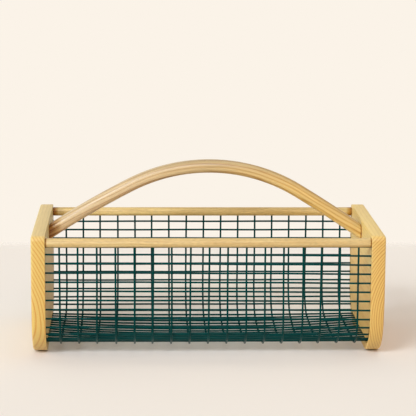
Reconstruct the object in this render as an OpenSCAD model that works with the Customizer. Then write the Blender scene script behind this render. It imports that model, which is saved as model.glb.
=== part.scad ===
// Garden trug: two pine end boards joined by two dowel rails and a bent wooden handle, with a
// basket of green coated welded wire, bent to a U and held in slots in the boards and rails.
// X runs along the trug, Y from front to back and Z up. The origin is on the ground, in the middle.

/* [End boards] */
// Depth of each board, front to back
board_depth = 254; // [210:1:320]
// Height of each board above the ground
board_h = 171.5; // [150:0.5:220]
// Thickness of each board
board_t = 19; // [17:0.5:25]
// Radius of the two top corners
top_corner_r = 8; // [2:0.5:20]
// Radius of the two bottom corners
bottom_corner_r = 60; // [45:1:65]
// Radius of the slow curve that draws each side in above its bottom corner
side_curve_r = 250; // [150:5:350]
// Angle that the slow curve turns through
side_curve_turn = 10; // [4:0.5:12]

/* [Length] */
// Clear length between the two boards
inner_l = 442; // [360:1:600]

/* [Rails] */
// Diameter of the two dowel rails
rail_d = 12.7; // [11:0.1:16]
// From a board's front or rear edge in to the rail's axis
rail_inset = 8.5; // [7.5:0.5:14]
// From the boards' top down to the rail's axis
rail_drop = 10.5; // [9:0.5:16]

/* [Wire basket] */
// Diameter of a wire over its coating
wire_d = 2.6; // [1.6:0.1:3]
// Spacing of the bent girth wires along the trug
girth_pitch = 25.4; // [20:0.1:50.8]
// Spacing of the straight long wires round the girth
long_pitch = 12.7; // [10:0.1:25.4]
// How far the wire grid sits to the right of the middle
grid_shift = 1; // [-3:0.5:3]
// Radius of the bend, measured to the long wires
bend_r = 41; // [32:1:50]
// Height of the basket's floor above the ground, before it is fitted to whole squares
floor_gap = 15.7; // [12:0.1:30]
// From the front rail's axis down to the first long wire
front_edge_drop = 5.8; // [1.5:0.1:7]
// From the rear rail's axis down to the last long wire
rear_edge_drop = 1.7; // [1.5:0.1:7]
// How far the girth wires run on past the first and last long wires
girth_stub = 1.3; // [1.2:0.1:3]
// Gap between the coatings of a girth wire and a long wire where they are welded
weld_gap = 0.05; // [0:0.01:0.2]

/* [Slots] */
// Depth of the slot in each board
slot_depth = 10.5; // [8:0.5:12]
// Clearance between the wires and the sides of a slot
slot_fit = 0.3; // [0.1:0.05:1]
// Gap between a long wire's end and the bottom of its slot
wire_end_gap = 0.5; // [0.2:0.1:2]

/* [Handle] */
// Diameter of the bent handle
handle_d = 19; // [16:0.5:24]
// From the boards' top down to the middle of the handle's ends
handle_end_drop = 18; // [14:0.1:30]
// Height of the handle's crown above its ends
handle_rise = 94.3; // [75:0.1:120]
// Mean slope of the two flanks below the crown
flank_slope = 31.8; // [30:0.1:38]
// How far the crown stops short of that slope on the left, where the flank bows instead
left_bow = 4.5; // [2:0.1:8]
// How far the crown stops short of that slope on the right
right_bow = 0.3; // [0.2:0.1:8]
// How far the crown sits to the right of the middle
crown_shift = 4.4; // [0:0.1:8]
// Radius that the upper corner of each end is rounded to
end_round_r = 8; // [3:0.5:12]

/* [Screws] */
// Diameter of a rail screw
rail_screw_d = 3.5; // [3:0.1:4]
// Length of a rail screw
rail_screw_l = 38; // [30:1:50]
// Height of a rail screw above the rail's axis
rail_screw_rise = 2.5; // [2.3:0.1:3]
// Diameter of a handle screw
handle_screw_d = 4.2; // [3.5:0.1:5]
// Length of a handle screw
handle_screw_l = 32; // [28:1:36]
// Height of a handle screw above the middle of the handle's end
handle_screw_rise = 2.5; // [1:0.1:4]
// Width of a screw's head for each millimetre of its diameter
head_ratio = 2; // [1.8:0.05:2.2]
// Clearance round a screw in its hole
screw_fit = 0.05; // [0.02:0.01:0.2]

/* [Hidden] */
$fn = 64;
// How far a cutting shape runs past what it cuts
past = 1;

// Rounds to a hundredth of a millimetre, so that stacked shapes meet exactly
function snap(x) = round(x * 100) / 100;

// Boards
half_l = inner_l / 2;
half_depth = board_depth / 2;
side_in = side_curve_r * (1 - cos(side_curve_turn));
corner_y = snap(half_depth - side_in - bottom_corner_r * cos(side_curve_turn));
corner_z = snap(bottom_corner_r * (1 - sin(side_curve_turn)));
side_z = corner_z + snap(side_curve_r * sin(side_curve_turn));

// Rails
rail_y = half_depth - rail_inset;
rail_z = board_h - rail_drop;

// The wires lie in two layers, the long wires inside and the girth wires outside
layer_gap = wire_d + weld_gap;
long_y = rail_y - layer_gap / 2;
girth_y = rail_y + layer_gap / 2;
bend_y = long_y - bend_r;
girth_bend_r = bend_r + layer_gap;
front_z = rail_z - front_edge_drop;
rear_z = rail_z - rear_edge_drop;

// The floor's height is such that a whole number of squares goes round the girth
bend_arc = bend_r * PI / 2;
floor_l = 2 * bend_y;
wanted_l = front_z + rear_z - 2 * (floor_gap + bend_r) + 2 * bend_arc + floor_l;
squares = round(wanted_l / long_pitch);
bend_z = snap((front_z + rear_z + 2 * bend_arc + floor_l - squares * long_pitch) / 2);
floor_z = bend_z - bend_r;

// Lengths along the girth, from the first long wire, at which each stretch ends
front_wall_end = front_z - bend_z;
front_bend_end = front_wall_end + bend_arc;
floor_end = front_bend_end + floor_l;
rear_bend_end = floor_end + bend_arc;

// Slots
slot_w = 2 * wire_d + weld_gap + 2 * slot_fit;
slot_top_gap = girth_stub + slot_fit;
long_wire_half = half_l + slot_depth - wire_end_gap;
girth_half_count = floor((long_wire_half - wire_d / 2 - abs(grid_shift)) / girth_pitch);

// Handle
handle_r = handle_d / 2;
end_z = board_h - handle_end_drop;
crown_z = end_z + handle_rise;
crown_r = (half_l * tan(flank_slope) - handle_rise) * cos(flank_slope) / (1 - cos(flank_slope));
// Each flank starts inside the crown, a hair thinner, so that their surfaces never coincide
lap = 1;
lap_step = 0.02;

GIRTH_WIRES = [
    for (i = [1:2 * girth_half_count + 1]) str("girth_wire_", i < 10 ? "0" : "", i)
];

// Turns an arc length on the bend into its angle
function bend_angle(s) = s / bend_r * 180 / PI;

// Place of a long wire, as [y, z], at a length s along the girth
function girth_point(s) =
    s <= front_wall_end ? [-long_y, front_z - s] :
    s <= front_bend_end ? let (a = bend_angle(s - front_wall_end))
        [-bend_y - bend_r * cos(a), bend_z - bend_r * sin(a)] :
    s <= floor_end ? [s - front_bend_end - bend_y, floor_z] :
    s <= rear_bend_end ? let (a = bend_angle(s - floor_end))
        [bend_y + bend_r * sin(a), bend_z - bend_r * cos(a)] :
    [long_y, bend_z + s - rear_bend_end];

// A shape drawn in Y and Z, made solid along X from x0 to x1
module across(x0, x1) {
    translate([x0, 0, 0]) rotate([90, 0, 90]) linear_extrude(x1 - x0) children();
}

// A round rod along X, as long on one side of the middle as on the other
module rod(half, d) {
    translate([-half, 0, 0]) rotate([0, 90, 0]) cylinder(h = 2 * half, d = d);
}

module at_both_ends() {
    children();
    mirror([1, 0, 0]) children();
}

// Countersunk screw along +X with its head's face at the origin, or the hole for it
module screw(d, l, fit) {
    head_r = d * head_ratio / 2 + fit;
    shank_r = d / 2 + fit;
    rotate([90, 0, 90]) rotate_extrude() {
        polygon([[0, 0], [head_r, 0], [shank_r, head_r - shank_r], [shank_r, l - d], [0, l + fit]]);
    }
}

// The left end's screws, driven in from the board's outer face
module left_rail_screws(fit) {
    for (side = [-1, 1]) {
        translate([-half_l - board_t, side * rail_y, rail_z + rail_screw_rise]) {
            screw(rail_screw_d, rail_screw_l, fit);
        }
    }
}

module left_handle_screw(fit) {
    translate([-half_l - board_t, 0, end_z + handle_screw_rise]) {
        screw(handle_screw_d, handle_screw_l, fit);
    }
}

// End board as seen along X: round top corners, sides that draw in, round bottom corners, flat foot
module board_outline() {
    shoulder_z = board_h - top_corner_r;
    translate([-half_depth, side_z]) square([board_depth, shoulder_z - side_z]);
    translate([top_corner_r - half_depth, side_z]) {
        square([board_depth - 2 * top_corner_r, board_h - side_z]);
    }
    for (side = [-1, 1]) {
        translate([side * (half_depth - top_corner_r), shoulder_z]) circle(top_corner_r);
    }
    intersection() {
        translate([-half_depth, corner_z]) square([board_depth, side_z - corner_z]);
        translate([side_curve_r - half_depth, side_z]) circle(side_curve_r, $fn = 256);
        translate([half_depth - side_curve_r, side_z]) circle(side_curve_r, $fn = 256);
    }
    intersection() {
        translate([-half_depth, 0]) square([board_depth, corner_z]);
        union() {
            translate([-corner_y, 0]) square([2 * corner_y, corner_z]);
            for (side = [-1, 1]) {
                translate([side * corner_y, bottom_corner_r]) circle(bottom_corner_r, $fn = 128);
            }
        }
    }
}

// The U that the wires are bent to, filled in, with its outer side at half_w and bends of radius r
module filled_u(half_w, r, front_top, rear_top) {
    translate([-half_w, bend_z]) square([half_w, front_top - bend_z]);
    translate([0, bend_z]) square([half_w, rear_top - bend_z]);
    translate([r - half_w, bend_z - r]) square([2 * (half_w - r), r]);
    intersection() {
        translate([-half_w, bend_z - r]) square([2 * half_w, r]);
        for (side = [-1, 1]) {
            translate([side * (half_w - r), bend_z]) circle(r, $fn = 128);
        }
    }
}

// Slot for the wires, the same shape in both boards
module slot_outline() {
    reach = (layer_gap + slot_w) / 2;
    difference() {
        filled_u(long_y + reach, bend_r + reach, front_z + slot_top_gap, rear_z + slot_top_gap);
        filled_u(long_y + reach - slot_w, bend_r + reach - slot_w, board_h, board_h);
    }
}

// Left board, with its slot and its screw holes
module end_board() {
    difference() {
        across(-half_l - board_t, -half_l) board_outline();
        across(-half_l - slot_depth, -half_l + past) slot_outline();
        left_rail_screws(screw_fit);
        left_handle_screw(screw_fit);
    }
}

module left_end_board() {
    color("#e3bd6c") end_board();
}

module right_end_board() {
    color("#e3bd6c") mirror([1, 0, 0]) end_board();
}

// Dowel with a saw kerf along its underside, which takes the basket's edge
module rail(side, edge_z) {
    kerf_top = edge_z + slot_top_gap;
    difference() {
        translate([0, side * rail_y, rail_z]) rod(half_l, rail_d);
        translate([-half_l - past, side * rail_y - slot_w / 2, rail_z - rail_d]) {
            cube([inner_l + 2 * past, slot_w, kerf_top - rail_z + rail_d]);
        }
        at_both_ends() left_rail_screws(screw_fit);
    }
}

module front_rail() {
    color("#e0b877") rail(-1, front_z);
}

module rear_rail() {
    color("#d2a662") rail(1, rear_z);
}

// Bent stretch of a rod in X and Z, about a centre at the origin, between two slopes
module bent_rod(bend, rod_r, slope0, slope1) {
    rotate([90, 0, 0]) rotate_extrude(start = 90 - slope1, angle = slope1 - slope0, $fn = 256) {
        translate([bend, 0]) circle(rod_r, $fn = 48);
    }
}

// What is taken off the upper corner of an end, where the rod's top lies at a radius top_r
module end_rounding(reach, centre, top_r) {
    x = reach - end_round_r;
    z = centre.y + sqrt((top_r - end_round_r) ^ 2 - (x - centre.x) ^ 2);
    outward = ([x, z] - centre) / (top_r - end_round_r);
    touch = [x, z] + end_round_r * outward;
    rotate([90, 0, 0]) translate([0, 0, -handle_d]) linear_extrude(2 * handle_d) difference() {
        polygon([[x, z], touch, touch + handle_r * outward, [reach + past, touch.y], [reach + past, z]]);
        translate([x, z]) circle(end_round_r);
    }
}

// Right flank of the handle: a slow bow that leaves the crown at a slope of turn and ends at
// x = reach from the crown's middle
module flank(reach, turn) {
    start = [crown_r * sin(turn), crown_z - crown_r * (1 - cos(turn))];
    inward = [-sin(turn), -cos(turn)];
    chord = [reach, end_z] - start;
    flank_r = (chord * chord) / (2 * chord * inward);
    centre = start + flank_r * inward;
    end_turn = asin((reach - centre.x) / flank_r) - turn;
    lap_turn = asin(lap / flank_r);
    extra_turn = asin(2 * handle_d / flank_r);
    difference() {
        translate([start.x, 0, start.y]) rotate([0, turn, 0]) translate([0, 0, -flank_r]) {
            bent_rod(flank_r, handle_r - lap_step, -lap_turn, end_turn + extra_turn);
        }
        translate([reach, -handle_d, end_z - 3 * handle_d]) {
            cube([3 * handle_d, 2 * handle_d, 5 * handle_d]);
        }
        end_rounding(reach, centre, flank_r + handle_r);
    }
}

// Round handle bent in one plane, its ends cut upright to butt on the boards
module handle() {
    left_turn = flank_slope - left_bow;
    right_turn = flank_slope - right_bow;
    color("#d3a868") difference() {
        translate([crown_shift, 0, 0]) {
            translate([0, 0, crown_z - crown_r]) bent_rod(crown_r, handle_r, -left_turn, right_turn);
            flank(half_l - crown_shift, right_turn);
            mirror([1, 0, 0]) flank(half_l + crown_shift, left_turn);
        }
        at_both_ends() left_handle_screw(screw_fit);
    }
}

// Straight long wires between two lengths along the girth
module long_wires(s0, s1) {
    color("#0f4a3e") for (i = [0:squares]) {
        s = i * long_pitch;
        if (s > s0 && s <= s1) {
            p = girth_point(s);
            translate([0, p[0], p[1]]) rod(long_wire_half, wire_d);
        }
    }
}

module front_wall_wires() {
    long_wires(-long_pitch, front_wall_end);
}

module front_bend_wires() {
    long_wires(front_wall_end, front_bend_end);
}

module floor_wires() {
    long_wires(front_bend_end, floor_end);
}

module rear_bend_wires() {
    long_wires(floor_end, rear_bend_end);
}

module rear_wall_wires() {
    long_wires(rear_bend_end, (squares + 1) * long_pitch);
}

// One girth wire: down the front, round under the floor and up the back
module girth_wire(i) {
    x = grid_shift + (i - 1 - girth_half_count) * girth_pitch;
    color("#14564a") translate([x, 0, 0]) {
        translate([0, -girth_y, bend_z]) cylinder(h = front_z + girth_stub - bend_z, d = wire_d);
        translate([0, girth_y, bend_z]) cylinder(h = rear_z + girth_stub - bend_z, d = wire_d);
        translate([0, -bend_y, bend_z - girth_bend_r]) {
            rotate([-90, 0, 0]) cylinder(h = 2 * bend_y, d = wire_d);
        }
        for (side = [0, 1]) mirror([0, side, 0]) translate([0, bend_y, bend_z]) {
            rotate([-90, 0, 90]) rotate_extrude(angle = 90, $fn = 128) {
                translate([girth_bend_r, 0]) circle(d = wire_d, $fn = 32);
            }
        }
    }
}

module rail_screws() {
    color("#b9bcbd") at_both_ends() left_rail_screws(0);
}

module handle_screws() {
    color("#b9bcbd") at_both_ends() left_handle_screw(0);
}

left_end_board();
right_end_board();
front_rail();
rear_rail();
handle();
front_wall_wires();
front_bend_wires();
floor_wires();
rear_bend_wires();
rear_wall_wires();
for (i = [1:len(GIRTH_WIRES)]) {
    girth_wire(i);
}
rail_screws();
handle_screws();
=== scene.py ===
import math
import random

import bpy
from mathutils import Euler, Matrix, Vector


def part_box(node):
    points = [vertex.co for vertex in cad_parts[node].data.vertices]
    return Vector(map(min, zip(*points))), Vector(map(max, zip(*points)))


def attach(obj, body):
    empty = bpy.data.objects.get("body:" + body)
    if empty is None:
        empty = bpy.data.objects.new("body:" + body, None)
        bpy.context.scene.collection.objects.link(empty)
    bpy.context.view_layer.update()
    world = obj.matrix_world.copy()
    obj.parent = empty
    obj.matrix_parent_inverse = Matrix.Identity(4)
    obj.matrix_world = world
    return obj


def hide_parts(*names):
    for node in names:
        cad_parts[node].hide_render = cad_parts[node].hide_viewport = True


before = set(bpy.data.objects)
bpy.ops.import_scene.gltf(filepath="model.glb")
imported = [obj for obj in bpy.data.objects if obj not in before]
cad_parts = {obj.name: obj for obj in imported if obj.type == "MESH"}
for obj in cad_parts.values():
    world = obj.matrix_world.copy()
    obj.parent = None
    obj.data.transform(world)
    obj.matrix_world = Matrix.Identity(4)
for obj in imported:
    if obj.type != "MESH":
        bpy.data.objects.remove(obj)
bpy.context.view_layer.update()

MM = 0.001


# Camera
# The photograph's place, a little above the trug and to the left of its middle, turned to face it.
# A long lens, which keeps the two end boards nearly square to the view.
PHOTO_PX = 416
SENSOR_MM = 36
LENS_PX = 1804.3
CAMERA_PLACE = (-93.9 * MM, -2509.4 * MM, 639.9 * MM)
CAMERA_PITCH = math.radians(79.79)
CAMERA_YAW = math.radians(-2.215)
CAMERA_ROLL = math.radians(0.402)


def add_camera():
    data = bpy.data.cameras.new("camera")
    data.sensor_width = SENSOR_MM
    data.lens = LENS_PX / PHOTO_PX * SENSOR_MM
    data.clip_end = 50
    camera = bpy.data.objects.new("camera", data)
    camera.location = CAMERA_PLACE
    turn = Euler((CAMERA_PITCH, 0, CAMERA_YAW)).to_matrix() @ Euler((0, 0, CAMERA_ROLL)).to_matrix()
    camera.rotation_euler = turn.to_euler()
    bpy.context.scene.collection.objects.link(camera)
    bpy.context.scene.camera = camera


add_camera()


# Floor and backdrop
# A sheet of pale studio paper that runs level under the trug and far behind it, in two tones
# that meet in a soft line behind the trug.
FLOOR_HEX = "#e9e1d7"
WALL_HEX = "#fbf3e8"
FLOOR_FRONT = -3.2
FLOOR_BACK = 0.70
FLOOR_FADE = 0.06
FLOOR_WIDTH = 10
FLOOR_DROP = 0.2 * MM


def linear(hex_colour):
    """An sRGB hex colour as linear red, green, blue and alpha."""
    values = [int(hex_colour[i:i + 2], 16) / 255 for i in (1, 3, 5)]
    return [v / 12.92 if v <= 0.04045 else ((v + 0.055) / 1.055) ** 2.4 for v in values] + [1]


def add_node(owner, kind, settings=None, inputs=None):
    """One node with its settings and inputs. The setting stops fills a colour ramp with places and
    hex colours. An input is a value for its socket, or the socket that it is linked from."""
    tree = owner.node_tree
    node = tree.nodes.new(kind)
    for name, value in (settings or {}).items():
        if name == "stops":
            ramp = node.color_ramp.elements
            for element, (place, colour) in zip(ramp, (value[0], value[-1])):
                element.position = place
                element.color = linear(colour)
            for place, colour in value[1:-1]:
                ramp.new(place).color = linear(colour)
        else:
            setattr(node, name, value)
    for name, value in (inputs or {}).items():
        if isinstance(value, bpy.types.NodeSocket):
            tree.links.new(value, node.inputs[name])
        else:
            node.inputs[name].default_value = value
    return node


def new_material(name, **inputs):
    """A material that holds one Principled shader with these inputs, ready for its pattern."""
    material = bpy.data.materials.new(name)
    material.use_nodes = True
    material.node_tree.nodes.clear()
    named = {key.replace("_", " "): value for key, value in inputs.items()}
    shader = add_node(material, "ShaderNodeBsdfPrincipled", inputs=named)
    add_node(material, "ShaderNodeOutputMaterial", inputs={"Surface": shader.outputs["BSDF"]})
    return material, shader


def link(material, source, shader, socket):
    material.node_tree.links.new(source, shader.inputs[socket])


def studio_paper():
    """Matt paper with a faint tooth, which fades out over its far edge into the backdrop."""
    material, shader = new_material("studio_paper", Base_Color=linear(FLOOR_HEX), Roughness=0.9)
    place = add_node(material, "ShaderNodeTexCoord").outputs["Object"]
    parts = add_node(material, "ShaderNodeSeparateXYZ", inputs={"Vector": place})
    fade = add_node(material, "ShaderNodeMapRange", {"interpolation_type": "SMOOTHSTEP"}, {
        "Value": parts.outputs["Y"], "From Min": FLOOR_BACK - FLOOR_FADE, "From Max": FLOOR_BACK,
        "To Min": 1, "To Max": 0})
    link(material, fade.outputs[0], shader, "Alpha")
    tooth = add_node(material, "ShaderNodeTexNoise", inputs={
        "Vector": place, "Scale": 1 / (2 * MM), "Detail": 2})
    bump = add_node(material, "ShaderNodeBump", inputs={
        "Strength": 0.02, "Distance": 0.5 * MM, "Height": tooth.outputs["Fac"]})
    link(material, bump.outputs["Normal"], shader, "Normal")
    return material


bpy.ops.object.select_all(action="DESELECT")
bpy.ops.mesh.primitive_plane_add(size=1, location=(0, (FLOOR_FRONT + FLOOR_BACK) / 2, -FLOOR_DROP))
floor = bpy.context.object
floor.name = "floor"
floor.scale = (FLOOR_WIDTH, FLOOR_BACK - FLOOR_FRONT, 1)
bpy.ops.object.transform_apply(location=True, scale=True)
floor.data.materials.append(studio_paper())


# Light
# A broad, low, daylight key from the left and the front, in two lamps side by side, which throws
# the trug's shadow back and to the right. Weak warm lamps on the other sides fill the shadow.
LAMPS = (
    ("key_left", 41, 21, 20, 1.77, (0.84, 0.93, 1)),
    ("key_front", 60, 36, 16, 1.07, (0.84, 0.93, 1)),
    ("front", 90, 35, 20, 0.88, (0.7, 0.72, 1)),
    ("left", 0, 20, 30, 0.77, (1, 0.74, 0.53)),
    ("right", 150, 20, 40, 0.78, (1, 0.6, 0.3)),
    ("top_right", 180, 70, 40, 0.58, (0.95, 1, 0.91)),
    ("back", 292, 58, 60, 0.62, (1, 1, 0.89)),
)


def add_lamp(name, around, rise, width, strength, colour):
    """A far lamp: degrees round from the left past the front, its rise, and its apparent width."""
    around = math.radians(around)
    rise = math.radians(rise)
    data = bpy.data.lights.new(name, "SUN")
    data.angle = math.radians(width)
    data.energy = strength
    data.color = colour
    lamp = bpy.data.objects.new(name, data)
    towards = Vector((-math.cos(around) * math.cos(rise), -math.sin(around) * math.cos(rise), math.sin(rise)))
    lamp.location = towards
    lamp.rotation_euler = towards.to_track_quat("Z", "Y").to_euler()
    bpy.context.scene.collection.objects.link(lamp)


for values in LAMPS:
    add_lamp(*values)


def add_room():
    """A pale room that lights the trug evenly. What looks at it, or is reflected, sees the wall."""
    world = bpy.data.worlds.new("room")
    bpy.context.scene.world = world
    world.use_nodes = True
    world.node_tree.nodes.clear()
    ambient = add_node(world, "ShaderNodeBackground", inputs={
        "Color": (1, 1, 1, 1), "Strength": 0.1})
    wall = add_node(world, "ShaderNodeBackground", inputs={"Color": linear(WALL_HEX)})
    path = add_node(world, "ShaderNodeLightPath")
    seen = add_node(world, "ShaderNodeMath", {"operation": "MAXIMUM"}, {
        0: path.outputs["Is Camera Ray"], 1: path.outputs["Is Glossy Ray"]})
    seen = add_node(world, "ShaderNodeMath", {"operation": "MAXIMUM"}, {
        0: seen.outputs[0], 1: path.outputs["Is Transmission Ray"]})
    mix = add_node(world, "ShaderNodeMixShader", inputs={
        0: seen.outputs[0], 1: ambient.outputs[0], 2: wall.outputs[0]})
    add_node(world, "ShaderNodeOutputWorld", inputs={"Surface": mix.outputs[0]})


add_room()


# End boards
# Two planed pine boards whose grain runs from front to back, so that their front and rear edges
# show the growth rings as arcs. Each is sawn to one outline, sanded round its edges, slotted for
# the wire in its inner face, and drilled and countersunk for the screws in its outer face.
BOARD_TOP_R = 8 * MM
BOARD_SIDE_R = 250 * MM
BOARD_SIDE_TURN = math.radians(10)
BOARD_FOOT_R = 60 * MM
OUTER_SANDING = 3 * MM
INNER_SANDING = 0.8 * MM
WIRE_D = 2.6 * MM
WIRE_GAP = 0.05 * MM
SLOT_FIT = 0.3 * MM
SLOT_DEPTH = 10.5 * MM
BEND_R = 41 * MM
RAIL_SCREW = {"d": 3.5 * MM, "l": 38 * MM}
HANDLE_SCREW = {"d": 4.2 * MM, "l": 32 * MM}
HEAD_RATIO = 2
SINK_FIT = 0.25 * MM
STRAIGHT = 1000
TILT_L = -33

low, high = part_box("left_end_board")
BOARD_T = high.x - low.x
BOARD_H = high.z
HALF_DEPTH = high.y
OUTER_X = -low.x
INNER_X = -high.x
WIRE_LAYER = WIRE_D + WIRE_GAP
front_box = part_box("front_wall_wires")
rear_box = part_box("rear_wall_wires")
LONG_Y = -front_box[0].y - WIRE_D / 2
LONG_FRONT_Z = front_box[1].z - WIRE_D / 2
LONG_REAR_Z = rear_box[1].z - WIRE_D / 2
FLOOR_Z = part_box("floor_wires")[0].z + WIRE_D / 2
BEND_Y = LONG_Y - BEND_R
BEND_Z = FLOOR_Z + BEND_R
STUB_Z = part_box("girth_wire_10")[1].z


def start_drawing(place):
    """A new piece that is a single point, in edit mode, to be drawn out into an outline."""
    bpy.ops.mesh.primitive_plane_add(size=MM, location=place)
    bpy.ops.object.mode_set(mode="EDIT")
    bpy.ops.mesh.select_mode(type="VERT")
    bpy.ops.mesh.select_all(action="SELECT")
    bpy.ops.mesh.merge(type="CENTER")
    return bpy.context.object


def draw(move):
    """Extrudes what is selected, by a move."""
    bpy.ops.mesh.extrude_region_move(TRANSFORM_OT_translate={"value": move})


def spin(centre, degrees, steps):
    """Extrudes what is selected round an X axis through a centre, clockwise as seen from +X."""
    bpy.ops.mesh.spin(steps=steps, angle=math.radians(degrees), center=centre, axis=(1, 0, 0))


def select(piece, kind, wanted):
    """In edit mode, selects only the edges or faces whose corners are all wanted."""
    bpy.ops.mesh.select_mode(type=kind)
    bpy.ops.mesh.select_all(action="DESELECT")
    bpy.ops.object.mode_set(mode="OBJECT")
    corners = [wanted(piece.matrix_world @ point.co) for point in piece.data.vertices]
    for part in piece.data.edges if kind == "EDGE" else piece.data.polygons:
        part.select = all(corners[i] for i in part.vertices)
    bpy.ops.object.mode_set(mode="EDIT")


def outward():
    """Turns the normals of the whole piece outwards and leaves edit mode."""
    bpy.ops.mesh.select_all(action="SELECT")
    bpy.ops.mesh.normals_make_consistent(inside=False)
    bpy.ops.object.mode_set(mode="OBJECT")


def apply_modifier(piece, kind, **settings):
    bpy.context.view_layer.objects.active = piece
    modifier = piece.modifiers.new(kind.lower(), kind)
    for name, value in settings.items():
        setattr(modifier, name, value)
    bpy.ops.object.modifier_apply(modifier=modifier.name)


def cut(piece, cutter):
    """Takes a cutter off a piece and throws the cutter away."""
    apply_modifier(piece, "BOOLEAN", operation="DIFFERENCE", object=cutter, solver="EXACT")
    bpy.data.objects.remove(cutter)


def settle(piece, name, material, nodes):
    """Names a finished piece, smooths it, puts its origin at the frame's and fixes it to the trug."""
    bpy.ops.object.select_all(action="DESELECT")
    piece.select_set(True)
    bpy.context.view_layer.objects.active = piece
    bpy.ops.object.transform_apply(location=True, rotation=True, scale=True)
    bpy.ops.object.shade_smooth_by_angle(angle=math.radians(35))
    piece.name = name
    piece.data.name = name
    piece.data.materials.clear()
    piece.data.materials.append(material)
    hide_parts(*nodes)
    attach(piece, "root")


def copy_of(piece, place, rotation):
    """A copy with its own mesh, at a place of its own."""
    double = piece.copy()
    double.data = piece.data.copy()
    double.location = place
    double.rotation_euler = rotation
    bpy.context.scene.collection.objects.link(double)
    return double


def mirrored(piece):
    """A copy of a left piece that is turned over to make the right one."""
    double = copy_of(piece, (-piece.location.x, piece.location.y, piece.location.z), (0, 0, 0))
    double.scale = (-1, 1, 1)
    bpy.ops.object.select_all(action="DESELECT")
    double.select_set(True)
    bpy.context.view_layer.objects.active = double
    bpy.ops.object.transform_apply(location=True, rotation=True, scale=True)
    bpy.ops.object.mode_set(mode="EDIT")
    bpy.ops.mesh.select_all(action="SELECT")
    bpy.ops.mesh.remove_doubles(threshold=0.001 * MM)
    outward()
    return double


def saw_board():
    """The left board: half of its outline is drawn from the top, mirrored, filled and thickened."""
    board = start_drawing((-OUTER_X, 0, BOARD_H))
    draw((0, HALF_DEPTH - BOARD_TOP_R, 0))
    spin((-OUTER_X, HALF_DEPTH - BOARD_TOP_R, BOARD_H - BOARD_TOP_R), 90, 8)
    turn = BOARD_SIDE_TURN
    foot_top = BOARD_FOOT_R * (1 - math.sin(turn))
    side_z = foot_top + BOARD_SIDE_R * math.sin(turn)
    foot_y = HALF_DEPTH - BOARD_SIDE_R * (1 - math.cos(turn)) - BOARD_FOOT_R * math.cos(turn)
    draw((0, 0, side_z - BOARD_H + BOARD_TOP_R))
    spin((-OUTER_X, HALF_DEPTH - BOARD_SIDE_R, side_z), math.degrees(turn), 6)
    spin((-OUTER_X, foot_y, BOARD_FOOT_R), 90 - math.degrees(turn), 24)
    draw((0, -foot_y, 0))
    bpy.ops.object.mode_set(mode="OBJECT")
    apply_modifier(board, "MIRROR", use_axis=(False, True, False), merge_threshold=0.1 * MM)
    bpy.ops.object.mode_set(mode="EDIT")
    bpy.ops.mesh.select_all(action="SELECT")
    bpy.ops.mesh.edge_face_add()
    draw((BOARD_T, 0, 0))
    for face_x, width, segments in ((-OUTER_X, OUTER_SANDING, 4), (-INNER_X, INNER_SANDING, 2)):
        select(board, "EDGE", lambda p: abs(p.x - face_x) < 0.1 * MM)
        bpy.ops.mesh.bevel(offset=width, segments=segments, affect="EDGES")
    outward()
    return board


def slot_cutter():
    """The slot as a solid: an edge across its width is led down, round and up, then made deep."""
    half = WIRE_D + WIRE_GAP / 2 + SLOT_FIT
    middle_y = LONG_Y + WIRE_LAYER / 2
    top = WIRE_D / 2 + SLOT_FIT
    x = MM - INNER_X
    cutter = start_drawing((x, -middle_y - half, LONG_FRONT_Z + top))
    draw((0, 2 * half, 0))
    bpy.ops.mesh.select_all(action="SELECT")
    draw((0, 0, BEND_Z - LONG_FRONT_Z - top))
    spin((x, -BEND_Y, BEND_Z), -90, 24)
    draw((0, 2 * BEND_Y, 0))
    spin((x, BEND_Y, BEND_Z), -90, 24)
    draw((0, 0, LONG_REAR_Z + top - BEND_Z))
    bpy.ops.mesh.select_all(action="SELECT")
    draw((-SLOT_DEPTH - MM, 0, 0))
    outward()
    return cutter


def countersink(screw, y, z):
    """The hole for a screw: a cone at the outer face that runs on as a shank's hole."""
    head = screw["d"] * HEAD_RATIO / 2 + SINK_FIT
    shank = screw["d"] / 2 + SINK_FIT
    x = (head - shank) / 2 - OUTER_X
    bpy.ops.mesh.primitive_cone_add(
        vertices=32, radius1=head, radius2=shank, depth=head - shank, location=(x, y, z),
        rotation=(0, math.pi / 2, 0))
    hole = bpy.context.object
    bpy.ops.object.mode_set(mode="EDIT")
    select(hole, "FACE", lambda p: p.x > x)
    draw((BOARD_T, 0, 0))
    select(hole, "FACE", lambda p: p.x < 0.1 * MM - OUTER_X)
    draw((-MM, 0, 0))
    outward()
    return hole


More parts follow.
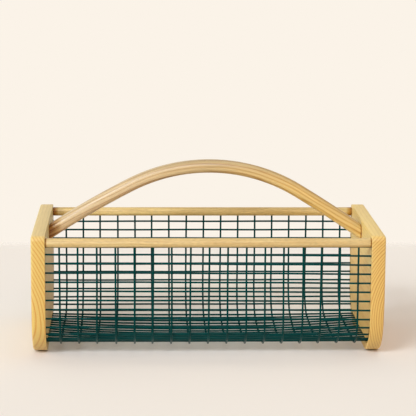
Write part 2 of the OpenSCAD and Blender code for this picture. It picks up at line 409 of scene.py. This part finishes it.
def pine(name, pith, tilt, oval, ring, tones):
    """Planed, lightly oiled pine: pale early wood with darker, sharper late wood in oval rings round
    the pith, which lies along Y. The tones are early and late wood as seen on the edges, on the
    flat faces and, deeper in colour, where the wood is sawn across."""
    material, shader = new_material(name, Roughness=0.5)
    source = add_node(material, "ShaderNodeTexCoord")
    place = source.outputs["Object"]
    slow = add_node(material, "ShaderNodeMapping", inputs={"Vector": place, "Scale": (1, 0.12, 1)})
    waver = add_node(material, "ShaderNodeTexNoise", inputs={
        "Vector": slow.outputs[0], "Scale": 1 / (45 * MM), "Detail": 1})
    quiver = add_node(material, "ShaderNodeTexNoise", inputs={
        "Vector": slow.outputs[0], "Scale": 1 / (9 * MM), "Detail": 2})
    across = add_node(material, "ShaderNodeMapping", {"vector_type": "TEXTURE"}, {
        "Vector": place, "Location": pith, "Rotation": (0, math.radians(tilt), 0),
        "Scale": (1, STRAIGHT, 1 / oval)})
    radius = add_node(material, "ShaderNodeVectorMath", {"operation": "LENGTH"}, {
        0: across.outputs[0]}).outputs["Value"]
    for noise, width in ((waver, 3 * MM), (quiver, 0.7 * MM)):
        radius = add_node(material, "ShaderNodeMath", {"operation": "MULTIPLY_ADD"}, {
            0: noise.outputs["Fac"], 1: width, 2: radius}).outputs[0]
    years = add_node(material, "ShaderNodeTexNoise", {"noise_dimensions": "1D"}, {
        "W": radius, "Scale": 1 / (17 * MM), "Detail": 1})
    radius = add_node(material, "ShaderNodeMath", {"operation": "MULTIPLY_ADD"}, {
        0: years.outputs["Fac"], 1: 4 * MM, 2: radius}).outputs[0]
    turns = add_node(material, "ShaderNodeMath", {"operation": "DIVIDE"}, {0: radius, 1: ring})
    year = add_node(material, "ShaderNodeMath", {"operation": "FRACT"}, {0: turns.outputs[0]})
    late = add_node(material, "ShaderNodeValToRGB", {"stops": [
        (0, "#a0a0a0"), (0.15, "#202020"), (0.4, "#000000"), (0.65, "#505050"), (0.85, "#ffffff"),
        (1, "#e0e0e0")]}, {"Fac": year.outputs[0]})
    normal = add_node(material, "ShaderNodeSeparateXYZ", inputs={"Vector": source.outputs["Normal"]})
    tone = add_node(material, "ShaderNodeMix", {"data_type": "RGBA"}, {
        0: late.outputs["Color"], 6: linear(tones[0][0]), 7: linear(tones[0][1])})
    for side, (early, dark) in (("X", tones[1]), ("Y", tones[2])):
        faces = add_node(material, "ShaderNodeMath", {"operation": "ABSOLUTE"}, {0: normal.outputs[side]})
        other = add_node(material, "ShaderNodeMix", {"data_type": "RGBA"}, {
            0: late.outputs["Color"], 6: linear(early), 7: linear(dark)})
        tone = add_node(material, "ShaderNodeMix", {"data_type": "RGBA"}, {
            0: faces.outputs[0], 6: tone.outputs[2], 7: other.outputs[2]})
    # Painted light: above about 120 mm the flat faces are turned yellower, less saturated and a touch darker.
    # This stands in for the key light that falls on the upper inner face, not for any change in the wood.
    height = add_node(material, "ShaderNodeSeparateXYZ", inputs={"Vector": place})
    painted_light_above = add_node(material, "ShaderNodeMapRange", inputs={
        "Value": height.outputs["Z"], "From Min": 112 * MM, "From Max": 130 * MM})
    flat = add_node(material, "ShaderNodeMath", {"operation": "ABSOLUTE"}, {0: normal.outputs["X"]})
    painted_light_above = add_node(material, "ShaderNodeMath", {"operation": "MULTIPLY"}, {
        0: painted_light_above.outputs[0], 1: flat.outputs[0]})
    tone = add_node(material, "ShaderNodeHueSaturation", inputs={
        "Color": tone.outputs[2], "Hue": 0.515, "Saturation": 0.92, "Value": 0.98,
        "Fac": painted_light_above.outputs[0]})
    thin = add_node(material, "ShaderNodeMapping", inputs={"Vector": place, "Scale": (1, 0.03, 1)})
    fibre = add_node(material, "ShaderNodeTexNoise", inputs={
        "Vector": thin.outputs[0], "Scale": 1 / (0.9 * MM), "Detail": 3})
    level = add_node(material, "ShaderNodeMapRange", inputs={
        "Value": fibre.outputs["Fac"], "From Min": 0.3, "From Max": 0.7, "To Min": 0.92, "To Max": 1.06})
    colour = add_node(material, "ShaderNodeHueSaturation", inputs={
        "Color": tone.outputs["Color"], "Value": level.outputs[0]})
    link(material, colour.outputs["Color"], shader, "Base Color")
    bump = add_node(material, "ShaderNodeBump", inputs={
        "Strength": 0.15, "Distance": 0.3 * MM, "Height": fibre.outputs["Fac"]})
    link(material, bump.outputs["Normal"], shader, "Normal")
    return material


rail_screw_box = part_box("rail_screws")
RAIL_SCREW_Y = rail_screw_box[1].y - RAIL_SCREW["d"] * HEAD_RATIO / 2
RAIL_SCREW_Z = (rail_screw_box[0].z + rail_screw_box[1].z) / 2
handle_screw_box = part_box("handle_screws")
HANDLE_SCREW_Z = (handle_screw_box[0].z + handle_screw_box[1].z) / 2
left_board = saw_board()
cut(left_board, slot_cutter())
for screw, y, z in ((RAIL_SCREW, -RAIL_SCREW_Y, RAIL_SCREW_Z), (RAIL_SCREW, RAIL_SCREW_Y, RAIL_SCREW_Z),
                    (HANDLE_SCREW, 0, HANDLE_SCREW_Z)):
    cut(left_board, countersink(screw, y, z))
right_board = mirrored(left_board)
left_pine = pine("planed_pine_left", (-305 * MM, 0, 106 * MM), TILT_L, 0.49, 4 * MM,
                 (("#d0b67a", "#c9af74"), ("#d0b67a", "#c9af74"), ("#d5b25e", "#c48b38")))
settle(left_board, "pine_board_left", left_pine, ["left_end_board"])
right_pine = pine("planed_pine_right", (334 * MM, 0, 58 * MM), 0, 1, 3.5 * MM,
                  (("#d8bb72", "#d0b26c"), ("#e6bd6e", "#deb263"), ("#d2ab5a", "#b2782c")))
settle(right_board, "pine_board_right", right_pine, ["right_end_board"])


# Rails
# Two stock beech dowels, turned round and sanded, whose grain runs along them. Their ends
# are chamfered, a saw kerf underneath takes the basket's edge, and a screw holds each end.
DOWEL_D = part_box("front_rail")[1].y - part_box("front_rail")[0].y
DOWEL_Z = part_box("front_rail")[1].z - DOWEL_D / 2
DOWEL_Y = -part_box("front_rail")[0].y - DOWEL_D / 2
DOWEL_CHAMFER = 1 * MM
SCREW_FIT = 0.05 * MM


def painted_rod_shade(material, colour, left, right, under, top):
    """A rod's colour with painted shade: darker on top than underneath, standing in for how the light falls
    on it, and dark for a stretch at its left and its right end, standing in for the board's shadow there."""
    source = add_node(material, "ShaderNodeTexCoord")
    place = add_node(material, "ShaderNodeSeparateXYZ", inputs={"Vector": source.outputs["Object"]})
    normal = add_node(material, "ShaderNodeSeparateXYZ", inputs={"Vector": source.outputs["Normal"]})
    level = add_node(material, "ShaderNodeMapRange", inputs={
        "Value": normal.outputs["Z"], "From Min": -1, "From Max": 1, "To Min": under, "To Max": top})
    for end, reach in ((-INNER_X, left), (INNER_X, -right)):
        painted_end_shade = add_node(material, "ShaderNodeMapRange", inputs={
            "Value": place.outputs["X"], "From Min": end, "From Max": end + reach,
            "To Min": 3, "To Max": 1})
        colour = add_node(material, "ShaderNodeGamma", inputs={
            "Color": colour, "Gamma": painted_end_shade.outputs[0]}).outputs["Color"]
    return add_node(material, "ShaderNodeHueSaturation", inputs={
        "Color": colour, "Value": level.outputs[0]}).outputs["Color"]


def turned_beech(name, pale_hex, dark_hex, painted_end_shade, under, top):
    """Sanded beech: fine long streaks, the short brown flecks of its rays and a low sheen."""
    material, shader = new_material(name, Roughness=0.5)
    place = add_node(material, "ShaderNodeTexCoord").outputs["Object"]
    stretched = add_node(material, "ShaderNodeMapping", inputs={"Vector": place, "Scale": (0.03, 1, 1)})
    streak = add_node(material, "ShaderNodeTexNoise", inputs={
        "Vector": stretched.outputs[0], "Scale": 1 / (2.4 * MM), "Detail": 4, "Roughness": 0.6})
    ramp = add_node(material, "ShaderNodeValToRGB", {"stops": [(0.33, dark_hex), (0.64, pale_hex)]}, {
        "Fac": streak.outputs["Fac"]})
    short = add_node(material, "ShaderNodeMapping", inputs={"Vector": place, "Scale": (0.22, 1, 1)})
    fleck = add_node(material, "ShaderNodeTexNoise", inputs={
        "Vector": short.outputs[0], "Scale": 1 / (1.25 * MM), "Detail": 1})
    fleck = add_node(material, "ShaderNodeMapRange", inputs={
        "Value": fleck.outputs["Fac"], "From Min": 0.3, "From Max": 0.6, "To Min": 0.87, "To Max": 1.03})
    colour = add_node(material, "ShaderNodeHueSaturation", inputs={
        "Color": ramp.outputs["Color"], "Value": fleck.outputs[0]})
    # Painted shade: darker on top, paler underneath, and dark at the ends where the boards shade the rod.
    colour = painted_rod_shade(material, colour.outputs["Color"], painted_end_shade, painted_end_shade, under, top)
    link(material, colour, shader, "Base Color")
    bump = add_node(material, "ShaderNodeBump", inputs={
        "Strength": 0.12, "Distance": 0.3 * MM, "Height": streak.outputs["Fac"]})
    link(material, bump.outputs["Normal"], shader, "Normal")
    return material


def finish_node(name, material):
    """Gives a CAD node its material, which is the only change made to it."""
    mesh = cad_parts[name].data
    mesh.materials.clear()
    mesh.materials.append(material)


def dowel():
    """The stock for one rail: a rod with chamfered ends and a screw hole in each."""
    bpy.ops.mesh.primitive_cylinder_add(
        vertices=64, radius=DOWEL_D / 2, depth=2 * INNER_X, location=(0, 0, DOWEL_Z),
        rotation=(0, math.pi / 2, 0))
    rod = bpy.context.object
    bpy.ops.object.mode_set(mode="EDIT")
    for side in (-1, 1):
        select(rod, "EDGE", lambda p: abs(p.x - side * INNER_X) < 0.1 * MM)
        bpy.ops.mesh.bevel(offset=DOWEL_CHAMFER, segments=2, affect="EDGES")
    outward()
    for side in (-1, 1):
        bpy.ops.mesh.primitive_cylinder_add(
            vertices=24, radius=RAIL_SCREW["d"] / 2 + SCREW_FIT, depth=2 * RAIL_SCREW["l"],
            location=(side * OUTER_X, 0, RAIL_SCREW_Z), rotation=(0, math.pi / 2, 0))
        cut(rod, bpy.context.object)
    return rod


def saw_kerf(rail, y, edge_z):
    """Saws the kerf that takes the basket's edge along a rail's underside."""
    kerf_top = edge_z + STUB_Z - LONG_REAR_Z + SLOT_FIT
    bpy.ops.mesh.primitive_cube_add(
        size=1, location=(0, y, kerf_top - DOWEL_D / 2),
        scale=(2 * INNER_X + DOWEL_D, 2 * (WIRE_D + SLOT_FIT) + WIRE_GAP, DOWEL_D))
    cut(rail, bpy.context.object)


stock = dowel()
# The last three columns set the painted shade: how far the dark reaches in from each end, where the board
# shades the rail, and the colour's level underneath and on top.
for word, y, edge_z, pale_hex, dark_hex, painted_end_shade, under, top in (
        ("front", -DOWEL_Y, LONG_FRONT_Z, "#d4b87b", "#be9a5d", 2.5 * MM, 1.03, 0.95),
        ("rear", DOWEL_Y, LONG_REAR_Z, "#e3c47e", "#bf9b55", 8 * MM, 1.27, 0.76)):
    rail = copy_of(stock, (0, y, DOWEL_Z), (0, math.pi / 2, 0))
    saw_kerf(rail, y, edge_z)
    wood = turned_beech("turned_beech_" + word, pale_hex, dark_hex, painted_end_shade, under, top)
    settle(rail, "dowel_rail_" + word, wood, [word + "_rail"])
bpy.data.objects.remove(stock)


# Handle
# A round rod of ash, bent while it was steamed and cut upright at its ends. Its grain follows the
# bend, in long brown streaks and pores.
HANDLE_BEND_R = 241.9 * MM
HANDLE_CROWN_X = 4.4 * MM
HANDLE_LEFT_TURN = math.radians(27.3)
HANDLE_RIGHT_TURN = math.radians(31.5)
HANDLE_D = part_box("handle")[1].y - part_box("handle")[0].y
HANDLE_CENTRE_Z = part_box("handle")[1].z - HANDLE_D / 2 - HANDLE_BEND_R


def steamed_ash():
    """Sanded and oiled ash: tan, with brown year lines, open pores and a low sheen."""
    material, shader = new_material("steamed_ash", Roughness=0.32)
    place = add_node(material, "ShaderNodeTexCoord").outputs["Object"]
    centre = (HANDLE_CROWN_X, 0, HANDLE_CENTRE_Z)
    arm = add_node(material, "ShaderNodeVectorMath", {"operation": "SUBTRACT"}, {0: place, 1: centre})
    arm = add_node(material, "ShaderNodeSeparateXYZ", inputs={"Vector": arm.outputs[0]})
    turn = add_node(material, "ShaderNodeMath", {"operation": "ARCTAN2"}, {
        0: arm.outputs["X"], 1: arm.outputs["Z"]})
    turn = add_node(material, "ShaderNodeClamp", inputs={
        "Value": turn.outputs[0], "Min": -HANDLE_LEFT_TURN, "Max": HANDLE_RIGHT_TURN}).outputs[0]
    back = add_node(material, "ShaderNodeMath", {"operation": "MULTIPLY"}, {0: turn, 1: -1})
    upright = add_node(material, "ShaderNodeVectorRotate", {"rotation_type": "Y_AXIS"}, {
        "Vector": place, "Center": centre, "Angle": back.outputs[0]})
    arc = add_node(material, "ShaderNodeMath", {"operation": "MULTIPLY"}, {0: turn, 1: HANDLE_BEND_R})
    arc = add_node(material, "ShaderNodeCombineXYZ", inputs={"X": arc.outputs[0]})
    straight = add_node(material, "ShaderNodeVectorMath", {"operation": "ADD"}, {
        0: upright.outputs[0], 1: arc.outputs[0]}).outputs[0]
    long = add_node(material, "ShaderNodeMapping", inputs={"Vector": straight, "Scale": (0.09, 1, 1)})
    waver = add_node(material, "ShaderNodeTexNoise", inputs={
        "Vector": long.outputs[0], "Scale": 1 / (11 * MM), "Detail": 2})
    parts = add_node(material, "ShaderNodeSeparateXYZ", inputs={"Vector": straight})
    depth = add_node(material, "ShaderNodeMath", {"operation": "MULTIPLY_ADD"}, {
        0: parts.outputs["Y"], 1: 0.5, 2: parts.outputs["Z"]})
    depth = add_node(material, "ShaderNodeMath", {"operation": "MULTIPLY_ADD"}, {
        0: waver.outputs["Fac"], 1: 9 * MM, 2: depth.outputs[0]})
    year = add_node(material, "ShaderNodeMath", {"operation": "DIVIDE"}, {0: depth.outputs[0], 1: 5.5 * MM})
    year = add_node(material, "ShaderNodeMath", {"operation": "FRACT"}, {0: year.outputs[0]})
    tone = add_node(material, "ShaderNodeValToRGB", {"stops": [
        (0, "#a67c45"), (0.12, "#c3a36c"), (0.5, "#ccaf77"), (0.88, "#c09d62"), (1, "#a67c45")]}, {
        "Fac": year.outputs[0]})
    fine = add_node(material, "ShaderNodeMapping", inputs={"Vector": straight, "Scale": (0.04, 1, 1)})
    pore = add_node(material, "ShaderNodeTexNoise", inputs={
        "Vector": fine.outputs[0], "Scale": 1 / (1.9 * MM), "Detail": 3, "Roughness": 0.6})
    level = add_node(material, "ShaderNodeMapRange", inputs={
        "Value": pore.outputs["Fac"], "From Min": 0.3, "From Max": 0.65, "To Min": 0.86, "To Max": 1.04})
    # Painted highlight: the arms are painted paler than the crown, and the left arm less saturated than the
    # right. This stands in for the light along the arms.
    away = add_node(material, "ShaderNodeMath", {"operation": "ABSOLUTE"}, {0: turn})
    painted_highlight_arms = add_node(material, "ShaderNodeMapRange", inputs={
        "Value": away.outputs[0], "From Max": HANDLE_LEFT_TURN, "To Min": 0.92, "To Max": 1.14})
    level = add_node(material, "ShaderNodeMath", {"operation": "MULTIPLY"}, {
        0: level.outputs[0], 1: painted_highlight_arms.outputs[0]})
    painted_highlight_left = add_node(material, "ShaderNodeMapRange", inputs={
        "Value": turn, "From Min": -HANDLE_LEFT_TURN, "From Max": HANDLE_RIGHT_TURN,
        "To Min": 0.86, "To Max": 1.1})
    colour = add_node(material, "ShaderNodeHueSaturation", inputs={
        "Color": tone.outputs["Color"], "Value": level.outputs[0], "Saturation": painted_highlight_left.outputs[0]})
    # Painted shade: darker on top, paler underneath, and dark for 18 mm at the left end and 2 mm at the right
    # end, where the boards shade the rod.
    colour = painted_rod_shade(material, colour.outputs["Color"], 18 * MM, 2 * MM, 1.5, 0.7)
    link(material, colour, shader, "Base Color")
    bump = add_node(material, "ShaderNodeBump", inputs={
        "Strength": 0.15, "Distance": 0.3 * MM, "Height": pore.outputs["Fac"]})
    link(material, bump.outputs["Normal"], shader, "Normal")
    return material


finish_node("handle", steamed_ash())


# Wire basket
# Welded steel wire under a smooth green vinyl coating. Straight long wires lie inside the bent
# girth wires, both end in the boards' slots, and the coating fills the corners at each weld. The
# floor has sagged a little, and the left ends have slid forward in their slot.
WIRE_SIDES = 12
LONG_SPACES = 38
LONG_STEPS = 40
STEPS_PER_SPACE = 4
SAG = 7 * MM
SLIDE = 2.2 * MM
SLIDE_BOW = 0.5 * MM
LONG_WAVE = 0.15 * MM
GIRTH_WAVE = 0.35 * MM
WALL_L = LONG_FRONT_Z - BEND_Z
BEND_L = BEND_R * math.pi / 2
FLOOR_L = 2 * BEND_Y
GIRTH_L = WALL_L + 2 * BEND_L + FLOOR_L + LONG_REAR_Z - BEND_Z
LONG_PITCH = GIRTH_L / LONG_SPACES
GIRTH_STUB = STUB_Z - LONG_REAR_Z
LONG_HALF = front_box[1].x
SAG_MIDDLE = 19 * LONG_PITCH
SAG_REACH = 8 * LONG_PITCH


def vinyl_coating():
    """Vinyl coating: dark blue green, smooth, with a soft gloss and slightly uneven thickness."""
    material, shader = new_material("vinyl_coating", Roughness=0.25, Specular_IOR_Level=0.2,
                                    Specular_Tint=(0, 0.5, 0.45, 1))
    place = add_node(material, "ShaderNodeTexCoord").outputs["Object"]
    uneven = add_node(material, "ShaderNodeTexNoise", inputs={
        "Vector": place, "Scale": 1 / (17 * MM), "Detail": 2})
    ramp = add_node(material, "ShaderNodeValToRGB", {"stops": [(0.3, "#002f2c"), (0.7, "#003a37")]}, {
        "Fac": uneven.outputs["Fac"]})
    link(material, ramp.outputs["Color"], shader, "Base Color")
    bump = add_node(material, "ShaderNodeBump", inputs={
        "Strength": 0.2, "Distance": 0.2 * MM, "Height": uneven.outputs["Fac"]})
    link(material, bump.outputs["Normal"], shader, "Normal")
    return material


def girth_line(s, outset):
    """Where the mesh runs, at a length s round the girth from the first long wire: y, z, heading."""
    reach = BEND_R + outset
    if s <= WALL_L:
        return -LONG_Y - outset, LONG_FRONT_Z - s, -math.pi / 2
    s -= WALL_L
    if s <= BEND_L:
        turn = s / BEND_R
        return -BEND_Y - reach * math.cos(turn), BEND_Z - reach * math.sin(turn), turn - math.pi / 2
    s -= BEND_L
    if s <= FLOOR_L:
        return s - BEND_Y, FLOOR_Z - outset, 0
    s -= FLOOR_L
    if s <= BEND_L:
        turn = s / BEND_R
        return BEND_Y + reach * math.sin(turn), BEND_Z - reach * math.cos(turn), turn
    return LONG_Y + outset, BEND_Z + s - BEND_L, math.pi / 2


def mesh_place(s, x, outset):
    """The place of a wire in the sagged mesh, and its heading round the girth."""
    y, z, heading = girth_line(s, outset)
    across = max(0, 1 - abs(s - SAG_MIDDLE) / SAG_REACH)
    along = max(0, 1 - abs(x / INNER_X) ** 2.7)
    return Vector((x, y, z - SAG * math.sin(across * math.pi / 2) ** 1.4 * along)), heading


def slid(s, x):
    """The length round the girth at which a long wire lies at x, now that it has slid."""
    share = (x + INNER_X) / (2 * INNER_X)
    slide = SLIDE * (1 - share) + 4 * SLIDE_BOW * share * (1 - share)
    held = min(1, s / LONG_PITCH, max(0, (GIRTH_L - WALL_L - BEND_L - s) / FLOOR_L))
    return s - slide * held


def join(pieces):
    """Makes several objects one."""
    bpy.ops.object.select_all(action="DESELECT")
    for piece in pieces:
        piece.select_set(True)
    bpy.context.view_layer.objects.active = pieces[0]
    bpy.ops.object.join()
    return pieces[0]


def draw_wire(places, turns, rotation):
    """One round wire, drawn out from its first end, which faces the way that rotation gives."""
    bpy.ops.mesh.primitive_circle_add(
        vertices=WIRE_SIDES, radius=WIRE_D / 2, fill_type="NGON", location=places[0],
        rotation=rotation)
    wire = bpy.context.object
    bpy.ops.object.mode_set(mode="EDIT")
    for here, there, turn in zip(places, places[1:], turns):
        draw(there - here)
        if turn:
            bpy.ops.transform.rotate(
                value=-turn, orient_axis="X", orient_type="GLOBAL", center_override=there)
    outward()
    return wire


def long_wire(i):
    """One straight wire, at its place round the girth."""
    random.seed(i)
    phase = random.uniform(0, 2 * math.pi)
    places = []
    for step in range(LONG_STEPS + 1):
        x = LONG_HALF * (2 * step / LONG_STEPS - 1)
        wave = LONG_WAVE * math.sin(phase + x / (30 * MM))
        places.append(mesh_place(slid(i * LONG_PITCH + wave, x), x, 0)[0])
    return draw_wire(places, [0] * LONG_STEPS, (0, math.pi / 2, 0))


def girth_wire(number, x0):
    """One wire bent round the girth, with the coating's fillet at each weld."""
    random.seed(number)
    drift = random.uniform(-1, 1) * GIRTH_WAVE
    phase = random.uniform(0, 2 * math.pi)

    def x_at(s):
        return x0 + drift + GIRTH_WAVE * math.sin(phase + s / (45 * MM))

    steps = LONG_SPACES * STEPS_PER_SPACE
    lengths = [-GIRTH_STUB] + [GIRTH_L * i / steps for i in range(1, steps)] + [GIRTH_L + GIRTH_STUB]
    track = [mesh_place(s, x_at(s), WIRE_LAYER) for s in lengths]
    turns = [after[1] - before[1] for before, after in zip(track, track[1:])]
    pieces = [draw_wire([place for place, heading in track], turns, (0, 0, 0))]
    for i in range(LONG_SPACES + 1):
        s = slid(i * LONG_PITCH, x0)
        place, heading = mesh_place(s, x_at(s), WIRE_LAYER / 2)
        pieces.append(copy_of(WELD, place, (heading, 0, 0)))
    return join(pieces)


bpy.ops.mesh.primitive_uv_sphere_add(segments=8, ring_count=6, radius=WIRE_D * 0.62, scale=(1, 1, 0.72))
WELD = bpy.context.object
VINYL = vinyl_coating()
WIRE_GROUPS = (
    ("front_wall", 0, WALL_L),
    ("front_bend", WALL_L, WALL_L + BEND_L),
    ("floor", WALL_L + BEND_L, WALL_L + BEND_L + FLOOR_L),
    ("rear_bend", WALL_L + BEND_L + FLOOR_L, WALL_L + 2 * BEND_L + FLOOR_L),
    ("rear_wall", WALL_L + 2 * BEND_L + FLOOR_L, GIRTH_L + LONG_PITCH),
)
for name, start, end in WIRE_GROUPS:
    wires = [long_wire(i) for i in range(LONG_SPACES + 1) if start < i * LONG_PITCH + 0.01 * MM <= end]
    settle(join(wires), "coated_" + name, VINYL, [name + "_wires"])
girth_nodes = [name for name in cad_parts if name.startswith("girth_wire")]
for number, name in enumerate(girth_nodes, 1):
    low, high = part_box(name)
    settle(girth_wire(number, (low.x + high.x) / 2), "coated_" + name, VINYL, [name])
bpy.data.objects.remove(WELD)


# Screws
# Zinc plated countersunk wood screws with a cross recess, driven flush into the boards' outer
# faces. They run on into the rails' and the handle's ends.
def zinc_plate():
    """Zinc plate: a grey metal with a soft, slightly streaky shine."""
    material, shader = new_material("zinc_plate", Base_Color=linear("#b9bcbd"), Metallic=1)
    place = add_node(material, "ShaderNodeTexCoord").outputs["Object"]
    streak = add_node(material, "ShaderNodeTexNoise", inputs={
        "Vector": place, "Scale": 1 / (1.4 * MM), "Detail": 3})
    level = add_node(material, "ShaderNodeMapRange", inputs={
        "Value": streak.outputs["Fac"], "To Min": 0.25, "To Max": 0.45})
    link(material, level.outputs[0], shader, "Roughness")
    return material


def swell(centre, factor):
    bpy.ops.transform.resize(value=(factor, factor, factor), center_override=centre)


def wood_screw(screw):
    """One screw along X, drawn from the face of its head to its point, with its recess cut in."""
    head = screw["d"] * HEAD_RATIO / 2
    shank = screw["d"] / 2
    bpy.ops.mesh.primitive_circle_add(
        vertices=24, radius=head, fill_type="NGON", rotation=(0, math.pi / 2, 0))
    piece = bpy.context.object
    bpy.ops.object.mode_set(mode="EDIT")
    x = 0
    radius = head
    for depth, wide in ((0.4 * MM, head), (head - shank, shank), (screw["l"] - screw["d"], shank),
                        (screw["l"], 0.3 * MM)):
        draw((depth - x, 0, 0))
        bpy.ops.transform.resize(value=[wide / radius] * 3, center_override=(depth, 0, 0))
        x = depth
        radius = wide
    outward()
    for long_y, long_z in ((1, 0.22), (0.22, 1)):
        bpy.ops.mesh.primitive_cube_add(size=1, scale=(screw["d"], head * long_y, head * long_z))
        cut(piece, bpy.context.object)
    return piece


ZINC = zinc_plate()
for node, screw, z, rises in (("rail_screws", RAIL_SCREW, RAIL_SCREW_Z, (-RAIL_SCREW_Y, RAIL_SCREW_Y)),
                              ("handle_screws", HANDLE_SCREW, HANDLE_SCREW_Z, (0,))):
    first = wood_screw(screw)
    screws = [copy_of(first, (side * OUTER_X, y, z), (0, -side * math.pi / 2, 0))
              for side in (-1, 1) for y in rises]
    bpy.data.objects.remove(first)
    settle(join(screws), "zinc_" + node, ZINC, [node])

bpy.context.scene.view_settings.view_transform = "Standard"
